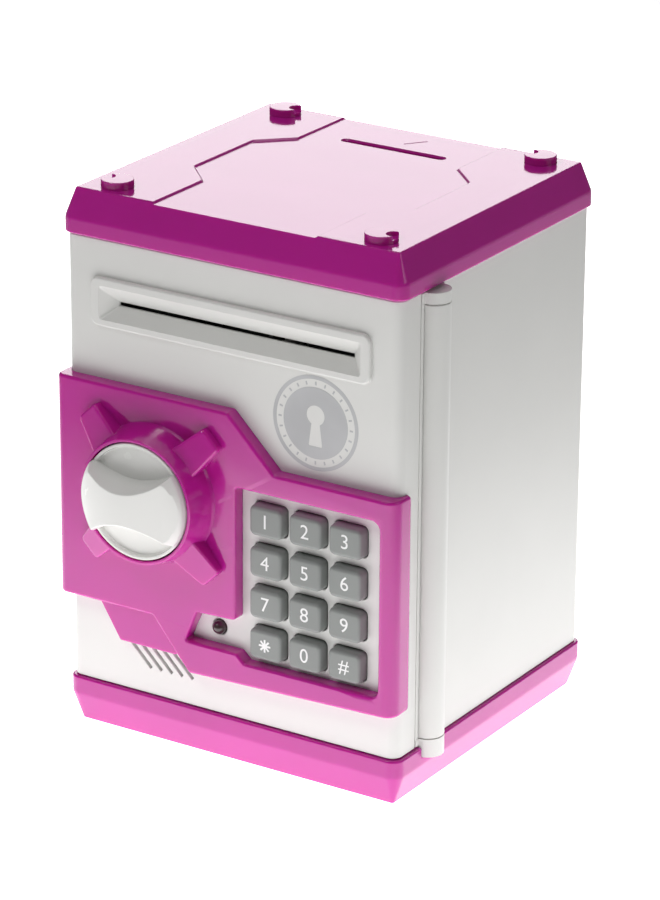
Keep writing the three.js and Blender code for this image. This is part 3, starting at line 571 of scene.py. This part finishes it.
# ---------------------------------------------------------------- door
BEZEL_X, BEZEL_LOW, BEZEL_HIGH, BEZEL_FRONT = 54.0, 145.2, 162.0, CASE_LOW[1]
SLOT_X, SLOT_LOW, SLOT_HIGH = 45.5, 151.7, 153.2
KEY_NAMES = ["1", "2", "3", "4", "5", "6", "7", "8", "9", "star", "0", "hash"]
KEYS = {name: middle(f"key_{name}", 0, 2) for name in KEY_NAMES}
KEY_W, KEY_H, KEY_CORNER = 12.4, 10.6, 2.0


def key_outline(x, z, grow, corner, steps):
    """A key's outline round its middle, grown outwards on all sides."""
    half_w, half_h = KEY_W / 2 + grow, KEY_H / 2 + grow
    return rectangle(x - half_w, x + half_w, z - half_h, z + half_h, corner, steps)


def make_door_casing():
    """The door's white front, with the banknote slot's funnel and holes for keys, light, knob and sound."""
    post_r, led_hole_r, knob_hole_r = 3.2, 2.8, 4.6
    low, high = CASE_LOW[2], CASE_HIGH[2]
    plan = rounded([(-CASE_X, WHITE_FRONT), (CASE_X, WHITE_FRONT), (CASE_X, SEAM), (-CASE_X, SEAM)],
                   [BODY_CORNER, BODY_CORNER, 0.7, 0.7], 8)
    case = prism("door_casing", plan, low, high, 0.4, 0.4)
    carve(case, block("cavity", -62.8, 62.8, WHITE_FRONT + WALL, SEAM + 1, low + WALL, high - WALL))
    rim = prism("bezel", rectangle(-BEZEL_X, BEZEL_X, BEZEL_LOW, BEZEL_HIGH, 3, 8),
                BEZEL_FRONT, WHITE_FRONT + 0.6, 0.7, 0, frontal)
    throat = block("throat", -48.5, 48.5, WHITE_FRONT + 1, -56.3, 146, 159)
    posts = []
    for x, z in [middle(f"door_screw_{i}", 0, 2) for i in SCREWS]:
        posts.append(rod("post", "y", WHITE_FRONT + 1, SEAM, x, z, post_r))
    join(case, rim, throat, *posts)
    mouth = rectangle(-51.2, 51.2, BEZEL_LOW + 2.0, BEZEL_HIGH - 2.1, 1.2, 4)
    gap = rectangle(-SLOT_X, SLOT_X, SLOT_LOW, SLOT_HIGH, 0.3, 4)
    funnel = between("funnel", mouth, BEZEL_FRONT - 0.5, gap, -57.0)
    slot = block("slot", -SLOT_X, SLOT_X, -60, -55, SLOT_LOW, SLOT_HIGH)
    cutters = [funnel, slot]
    for x, z in KEYS.values():
        cutters.append(front_hole("key_hole", key_outline(x, z, 0.3, KEY_CORNER, 5), 0.25))
    cutters.append(front_hole("led_hole", circle(*middle("status_led", 0, 2), led_hole_r, 40), 0.25))
    cutters.append(front_hole("knob_hole", circle(KNOB_X, KNOB_Z, knob_hole_r, 40), 0.2))
    first, pitch, z, run, half = -39.8, 4.2, 34.5, 7.9, 0.42
    for i in range(5):
        x = first + pitch * i
        line = rounded([(x - half, z - half), (x + run - half, z - run - half),
                        (x + run + half, z - run + half), (x + half, z + half)], 0.3, 3)
        cutters.append(front_hole("slit", line, 0.15))
    carve(case, *cutters)
    finish_piece(soften(case), WHITE, "door", "white_plastic", "door_front_shell")


def between(name, near, near_level, far, far_level):
    """A closed solid between two outlines seen from the front, with the same number of points."""
    size = len(near)
    verts = [frontal(u, v, near_level) for u, v in near] + [frontal(u, v, far_level) for u, v in far]
    faces = [(i, (i + 1) % size, size + (i + 1) % size, size + i) for i in range(size)]
    faces += [tuple(range(size)), tuple(range(size, 2 * size))]
    return make_object(name, verts, faces)


def wrapped_panel(name, outline, rim):
    """A panel that lies on the door's front and bends back round both of its front corners.

    The outline is the panel laid flat. Its front bends in plan with one radius on each side, and
    its back lies on the door casing.
    """
    back_mark, quarter = 2 * FASCIA_THICK, math.pi / 2
    steps = rim_steps(0, FASCIA_THICK, rim, 0, 6)[:-1] + [(0, back_mark)]
    flat = solid(name, outline, steps, frontal)
    side = {1: (FASCIA_HIGH[0], BEND_RIGHT), -1: (-FASCIA_LOW[0], BEND_LEFT)}
    work = bmesh.new()
    work.from_mesh(flat.data)
    bend_steps, lines = 8, []
    for sign, (reach, r) in side.items():
        lines += [sign * (reach - r + r * quarter * k / bend_steps) for k in range(bend_steps + 1)]
    for line in lines + [-61, 61, -62, 62]:
        bmesh.ops.bisect_plane(work, geom=work.verts[:] + work.edges[:] + work.faces[:],
                               plane_co=(line * MM, 0, 0), plane_no=(1, 0, 0))
    case_x, corner = CASE_X + 0.1, BODY_CORNER + 0.1
    for vert in work.verts:
        s, depth = vert.co.x / MM, vert.co.y / MM
        sign = 1 if s > 0 else -1
        reach, r = side[sign]
        run, bend = abs(s), r * quarter
        if depth > FASCIA_THICK:
            end = reach - r + bend + (WRAP_END - FASCIA_FRONT - r)
            full = corner * quarter + (WRAP_END - FASCIA_SEAT - corner)
            walk = max(0.0, run - (case_x - corner)) / (end - case_x + corner) * full
            angle = min(walk / corner, quarter)
            x = min(run, case_x - corner) + corner * math.sin(angle)
            y = FASCIA_SEAT + corner * (1 - math.cos(angle)) + max(0.0, walk - corner * quarter)
        else:
            angle = min(max(0.0, run - reach + r) / r, quarter)
            x = min(run, reach - r) + (r - depth) * math.sin(angle)
            y = FASCIA_FRONT + r - (r - depth) * math.cos(angle) + max(0.0, run - reach + r - bend)
        vert.co.x, vert.co.y = sign * x * MM, y * MM
    bmesh.ops.recalc_face_normals(work, faces=work.faces)
    work.to_mesh(flat.data)
    work.free()
    return flat


def make_fascia():
    """The magenta panel across the door's front, with the keypad window, the knob's collar and its tabs."""
    quarter = math.pi / 2
    right = 61.8 + BEND_RIGHT * quarter + 5.8
    left = -(63.1 + BEND_LEFT * quarter + 7.1)
    corners = [(left, 48.5), (-27.9, 48.5), (-18.7, 37.0), (-13.5, 31.0), (right, 33.8),
               (right, 108.9), (20.2, 108.9), (2.2, 126.7), (left, 126.7)]
    outline = rounded(corners, [1.5, 1.2, 1.2, 1.5, 1.5, 1.5, 1.5, 1.5, 1.5], 6)
    panel = wrapped_panel("fascia", outline, 1.1)
    window = rounded([(5.1, 54.2), (-10.2, 53.6), (-14.9, 42.6), (5.4, 42.6), (8.6, 39.7), (60.2, 40.0),
                      (60.2, 101.2), (5.1, 101.2)], [1.4, 0.8, 0.8, 1.4, 0.8, 2.6, 3.2, 1.2], 6)
    beyond = WHITE_FRONT + 2 - FASCIA_FRONT
    flared = [(-0.9, -1), (-0.9, 0), (-0.45, 0.2), (-0.12, 0.6), (0, 1.1), (0, beyond)]
    opening = solid("window", window, [(grow, FASCIA_FRONT + depth) for grow, depth in flared], frontal)
    relief = block("relief", -62, -1, FASCIA_FRONT + 2.4, WHITE_FRONT + 3, 58, 122)
    step_line = rounded([(-52.0, 49.5), (-43.0, 35.0), (-20.5, 35.0), (-16.0, 39.5), (-27.0, 49.5)], 0.7, 3)
    step = prism("step", step_line, -62.8, FASCIA_SEAT, 0.7, 0, frontal)
    hub = knob_rod("hub", FASCIA_FRONT + 0.5, FASCIA_SEAT, HUB_R)
    carve(panel, opening, relief)
    section = [(HUB_R, FASCIA_FRONT + 2.6), (HUB_R, BORE_FLOOR), (BORE_R, BORE_FLOOR), (BORE_R, RIM_Y + 0.2),
               (BORE_R + 0.2, RIM_Y), (21.7, RIM_Y), (23.9, BORE_FLOOR), (24.6, FASCIA_FRONT + 0.6)]
    collar = revolve("collar", eased(section, 0.35), (KNOB_X, 0, KNOB_Z), "y", ROUND_COUNT)
    tabs = [make_tab(angle) for angle in (45, 135, 225, 315)]
    join(panel, step, hub, collar, *tabs)
    bore = knob_rod("bore", RIM_Y - 1, BORE_FLOOR - 0.1, BORE_R, count=ROUND_COUNT)
    shaft = knob_rod("shaft", -70, WHITE_FRONT + 1, 4.9)
    carve(panel, bore, shaft)
    finish_piece(soften(panel), MAGENTA, "door", "magenta_plastic", "fascia_panel")


def make_tab(angle):
    """A tapered block against the collar, at an angle round the knob; its front slopes down outwards."""
    turn, inner, outer, front, slope = math.radians(angle), 20, 34.8, -71.9, 0.245
    line = rounded([(inner, -6.0), (outer, -4.4), (outer, 4.4), (inner, 6.0)], [0, 1.6, 1.6, 0], 5)
    spun = [turned_about_knob(u, v, turn) for u, v in line]
    tab = prism("tab", spun, front, FASCIA_FRONT + 0.6, 0.8, 0, frontal)
    for vert in tab.data.vertices:
        reach = (vert.co.x / MM - KNOB_X) * math.cos(turn) + (vert.co.z / MM - KNOB_Z) * math.sin(turn)
        vert.co.y += slope * (reach - inner) * MM
    return tab


# ---------------------------------------------------------------- knob
def make_grip():
    """A domed band across the knob: narrow in the middle, with flanks that lean in towards its front."""
    columns, half_length, turned, floor = 60, 20.9, math.radians(2.5), -74.0
    size, verts, faces = 0, [], []
    for k in range(columns + 1):
        u = half_length * (2 * k / columns - 1)
        face = KNOB_LOW[1] + 0.0157 * u * u
        edge = 5.7 + 0.0225 * u * u
        foot = 7.5 + 0.0195 * u * u
        section = rounded([(-foot, floor), (-edge, face), (edge, face), (foot, floor)], [0, 0.6, 0.6, 0], 5)
        size = len(section)
        for v, y in section:
            x, z = turned_about_knob(u, v, turned)
            verts.append((x, y, z))
    for k in range(columns):
        a, b = k * size, (k + 1) * size
        faces += [(a + i, a + (i + 1) % size, b + (i + 1) % size, b + i) for i in range(size)]
    faces += [tuple(range(size)), tuple(range(columns * size, (columns + 1) * size))]
    side = KNOB_R - 0.05
    outside = [(0, -92), (15, -86), (17.2, -82.2), (18.4, -80.2), (19.2, -79.05), (19.65, -78.55),
               (19.95, -78.0), (side, -77.4), (side, -71), (0, -71)]
    shoulder = revolve("shoulder", outside, (KNOB_X, 0, KNOB_Z), "y", ROUND_COUNT)
    return combine(make_object("grip", verts, faces), [shoulder], "INTERSECT")


def make_knob():
    """A shallow dish with the grip across it, on a shaft and a spigot that carries the latch cam."""
    floor, rim, back, shaft_r, spigot_r = -74.3, RIM_Y + 0.1, -70.5, 4.5, 2.9
    profile = eased([(0, floor), (KNOB_R - 1.3, floor), (KNOB_R - 1.1, rim), (KNOB_R, rim),
                     (KNOB_R, back), (0, back)], 0.35)
    disc = revolve("knob_body", profile, (KNOB_X, 0, KNOB_Z), "y", ROUND_COUNT)
    shaft = knob_rod("shaft", back - 0.5, LATCH_LOW[1] - 0.2, shaft_r)
    spigot = knob_rod("spigot", LATCH_LOW[1] - 0.5, LATCH_HIGH[1], spigot_r)
    join(disc, make_grip(), shaft, spigot)
    carve(disc, knob_rod("bore", -50, LATCH_HIGH[1] + 1, SCREW_BORE_R))
    finish_piece(soften(disc, 40), KNOB_WHITE, "knob", "knob_plastic", "knob")


# ---------------------------------------------------------------- keypad
def flat_print(name, outline, front, back, holes=()):
    """A thin layer of ink that lies on a front face."""
    return prism(name, outline, front, back, 0, 0, frontal, holes)


def star_print(x, z, face):
    """An eight-pointed star of four crossed strokes."""
    strokes, half_long, half_wide = [], 2.25, 0.34
    for k in range(4):
        out = Vector((math.cos(math.pi * k / 4), math.sin(math.pi * k / 4)))
        side = Vector((-out.y, out.x))
        line = [tuple(Vector((x, z)) + out * a * half_long + side * b * half_wide)
                for a, b in ((-1, -1), (1, -1), (1, 1), (-1, 1))]
        strokes.append(flat_print("key_glyph_star", line, face - 0.04, face + 0.03))
    return join(strokes[0], *strokes[1:])


def digit_print(name, x, z, face):
    """A digit or the hash sign, as a thin layer on the key's face."""
    curve = bpy.data.curves.new(f"glyph_{name}", "FONT")
    curve.body = "#" if name == "hash" else name
    curve.size = 7.0 * MM
    curve.align_x = "CENTER"
    curve.align_y = "CENTER"
    curve.extrude = 0.03 * MM
    curve.resolution_u = 6
    text = bpy.data.objects.new(f"glyph_{name}", curve)
    bpy.context.scene.collection.objects.link(text)
    upright_turn = Matrix.Rotation(math.pi / 2, 4, "X")
    text.matrix_world = Matrix.Translation(Vector((x, face - 0.01, z)) * MM) @ upright_turn
    bpy.context.view_layer.update()
    graph = bpy.context.evaluated_depsgraph_get()
    mesh = bpy.data.meshes.new_from_object(text.evaluated_get(graph))
    mesh.transform(text.matrix_world)
    bpy.data.objects.remove(text)
    printed = bpy.data.objects.new(f"key_glyph_{name}", mesh)
    bpy.context.scene.collection.objects.link(printed)
    return printed


def make_key(name, x, z):
    """One key: a crowned cap with soft edges, on a flange that stays behind the door's front wall."""
    face, foot = -64.3, -58.0
    crown = [(1.3, 0), (0.85, 0.08), (0.45, 0.3), (0.16, 0.65), (0.05, 1.1), (0.0, 2.0), (0.0, foot - face)]
    outline = key_outline(x, z, 0, KEY_CORNER, 5)
    cap = solid(f"key_cap_{name}", outline, [(depth, face + back) for depth, back in crown], frontal)
    flange = prism("flange", key_outline(x, z, 0.7, 1.5, 4), foot, foot + 0.8, 0.1, 0.1, frontal)
    join(cap, flange)
    finish_piece(soften(cap, 40), KEY_GREY, f"key_{name}", "key_rubber", f"key_{name}")
    printed = star_print(x, z, face) if name == "star" else digit_print(name, x, z, face)
    finish_piece(printed, GLYPH_WHITE, f"key_{name}", "key_rubber")


# ---------------------------------------------------------------- printed badge
def make_badge():
    """A plain round badge with a keyhole and dial ticks, printed on the door."""
    x, z, back = 33.0, 128.0, WHITE_FRONT
    front = back - 0.06
    stem_line = rounded([(x - 2.6, z - 8), (x + 2.6, z - 8), (x + 1.5, z + 0.6), (x - 1.5, z + 0.6)], 0.4, 3)
    disc = flat_print("badge", circle(x, z, 12.2, 96), front, back)
    eye = rod("eye", "y", front - 1, back + 1, x, z + 2.6, 3.4)
    stem = flat_print("stem", stem_line, front - 1, back + 1)
    carve(disc, eye, stem)
    ring_count, ticks, tick_reach = 128, 24, 13.55
    ring = circle(x, z, 16.2, ring_count)
    parts = [flat_print("ring", ring, front, back, [circle(x, z, 14.9, ring_count)])]
    for k in range(ticks):
        angle = 2 * math.pi * k / ticks
        out = Vector((math.cos(angle), math.sin(angle)))
        side = Vector((-math.sin(angle), math.cos(angle)))
        centre = Vector((x, z)) + out * tick_reach
        line = [tuple(centre + side * a * 0.28 + out * b * 0.6)
                for a, b in ((-1, -1), (-1, 1), (1, 1), (1, -1))]
        parts.append(flat_print("tick", line, front, back))
    join(disc, *parts)
    finish_piece(disc, BADGE_GREY, "door", "white_plastic")


# ---------------------------------------------------------------- pieces refined from their CAD shape
def refined(node, body, slot, width):
    """A finer copy of a CAD node: flat faces merged, edges rounded by width, round faces shaded smooth."""
    sharp_angle = 38
    mesh = frame["nodes"][node].data.copy()
    mesh.materials.clear()
    work = bmesh.new()
    work.from_mesh(mesh)
    bmesh.ops.remove_doubles(work, verts=work.verts, dist=WELD)
    bmesh.ops.dissolve_limit(work, angle_limit=math.radians(1), verts=work.verts, edges=work.edges)
    work.to_mesh(mesh)
    work.free()
    obj = bpy.data.objects.new(f"{node}_fine", mesh)
    bpy.context.scene.collection.objects.link(obj)
    bevel = obj.modifiers.new("bevel", "BEVEL")
    bevel.width = width * MM
    bevel.segments = 2
    bevel.limit_method = "ANGLE"
    bevel.angle_limit = math.radians(sharp_angle)
    bevel.use_clamp_overlap = True
    apply_modifiers(obj)
    soften(obj, sharp_angle)
    finish_piece(obj, BY_SLOT[slot], body, slot, node)


HAND_MADE = {"top_cover", "base_tray", "cabinet_shell", "door_front_shell", "fascia_panel", "knob"}


def refine_the_rest():
    """Every CAD node that has no hand-made piece gets a finer copy on its own body."""
    slots = {row["node"]: row["material_slot"] for row in frame["record"]["subparts"]}
    for body, nodes in frame["record"]["behaviour"]["bodies"].items():
        for node in nodes:
            if node in HAND_MADE or node.startswith("key_"):
                continue
            small = "screw" in node or "contact" in node
            refined(node, body, slots[node], 0.12 if small else 0.25)


# ---------------------------------------------------------------- studio
def make_floor():
    """A pale paper floor with a painted glow, as from a light table: its emission is a painted pool of light,
    brightest under and behind the bank.
    """
    mesh = bpy.data.meshes.new("floor")
    half, drop = 4.0, -0.0001
    corners = [(-half, -half, drop), (half, -half, drop), (half, half, drop), (-half, half, drop)]
    mesh.from_pydata(corners, [], [(0, 1, 2, 3)])
    floor = bpy.data.objects.new("floor", mesh)
    bpy.context.scene.collection.objects.link(floor)
    nodes = Nodes("floor_paper_painted_glow")
    place = nodes.tree.nodes.new("ShaderNodeMapping")
    place.vector_type = "TEXTURE"
    place.inputs["Location"].default_value = (-0.17, 0.212, 0)
    place.inputs["Rotation"].default_value = (0, 0, math.radians(32.4))
    place.inputs["Scale"].default_value = (0.26, 0.62, 1.0)
    nodes.tree.links.new(nodes.coords, place.inputs["Vector"])
    reach = nodes.tree.nodes.new("ShaderNodeVectorMath")
    reach.operation = "LENGTH"
    nodes.tree.links.new(place.outputs["Vector"], reach.inputs[0])
    # painted glow: the floor's emission fades with distance from under the bank, a painted pool of light that
    # lights the bank from below and washes out its shadow on the floor
    painted_glow = nodes.tree.nodes.new("ShaderNodeMapRange")
    for socket, value in (("From Min", 0.95), ("From Max", 1.45), ("To Min", 1.65), ("To Max", 0.15)):
        painted_glow.inputs[socket].default_value = value
    nodes.tree.links.new(reach.outputs["Value"], painted_glow.inputs["Value"])
    paper = nodes.ramp(nodes.noise(3, 2), [(0.3, (0.86, 0.86, 0.86)), (0.7, (0.88, 0.88, 0.88))])
    nodes.set(Base_Color=paper, Roughness=0.9, Specular_IOR_Level=0.1, Emission_Color=(1, 1, 1, 1),
              Emission_Strength=painted_glow.outputs["Result"])
    mesh.materials.append(nodes.material)


def area_light(name, position, target, size, power):
    """A white rectangular light at position that faces target, in metres and watts."""
    data = bpy.data.lights.new(name, "AREA")
    data.shape = "RECTANGLE"
    data.size, data.size_y = size
    data.energy = power
    light = bpy.data.objects.new(name, data)
    light.location = position
    light.rotation_euler = (Vector(target) - Vector(position)).to_track_quat("-Z", "Y").to_euler()
    light.visible_camera = False
    bpy.context.scene.collection.objects.link(light)


def make_lights():
    world = bpy.data.worlds.new("studio")
    bpy.context.scene.world = world
    world.use_nodes = True
    background = world.node_tree.nodes["Background"]
    background.inputs["Color"].default_value = (1, 1, 1, 1)
    background.inputs["Strength"].default_value = 0.11
    area_light("backdrop", (-0.86, 1.35, 0.80), (0, 0, 0.19), (1.15, 0.85), 7.5)
    area_light("overhead", (-0.2, -0.1, 1.8), (0, 0, 0.0), (1.0, 1.0), 4)
    area_light("key", (-0.35, -0.75, 1.1), (-0.02, -0.06, 0.1), (0.35, 0.2), 3)
    area_light("side", (1.5, 0.1, 1.0), (0.06, 0, 0.12), (1.0, 0.8), 2.5)


def make_camera():
    """The photograph's camera: it looks at the bank's middle from its right front, with a slight roll."""
    azimuth, elevation, roll = math.radians(32.396), math.radians(21.025), math.radians(0.392)
    distance, across, above, aim = 1.43527, 0.000222, -0.002333, Vector((0, 0, 0.095))
    flat = math.cos(elevation)
    back = Vector((math.sin(azimuth) * flat, -math.cos(azimuth) * flat, math.sin(elevation)))
    right = Vector((math.cos(azimuth), math.sin(azimuth), 0))
    up = back.cross(right)
    right_rolled = right * math.cos(roll) + up * math.sin(roll)
    up_rolled = up * math.cos(roll) - right * math.sin(roll)
    data = bpy.data.cameras.new("camera")
    data.lens = 170.05
    data.sensor_width = 36
    data.clip_end = 30
    camera = bpy.data.objects.new("camera", data)
    place = Matrix((right_rolled, up_rolled, back)).transposed().to_4x4()
    place.translation = aim + back * distance + right * across + up * above
    camera.matrix_world = place
    bpy.context.scene.collection.objects.link(camera)
    bpy.context.scene.camera = camera


make_camera()
make_lid()
make_base()
make_cabinet_walls()
make_door_casing()
make_fascia()
make_knob()
for key_name, (key_x, key_z) in KEYS.items():
    make_key(key_name, key_x, key_z)
make_badge()
refine_the_rest()
make_floor()
make_lights()

scene = bpy.context.scene
scene.view_settings.view_transform = "Standard"
scene.cycles.use_denoising = True
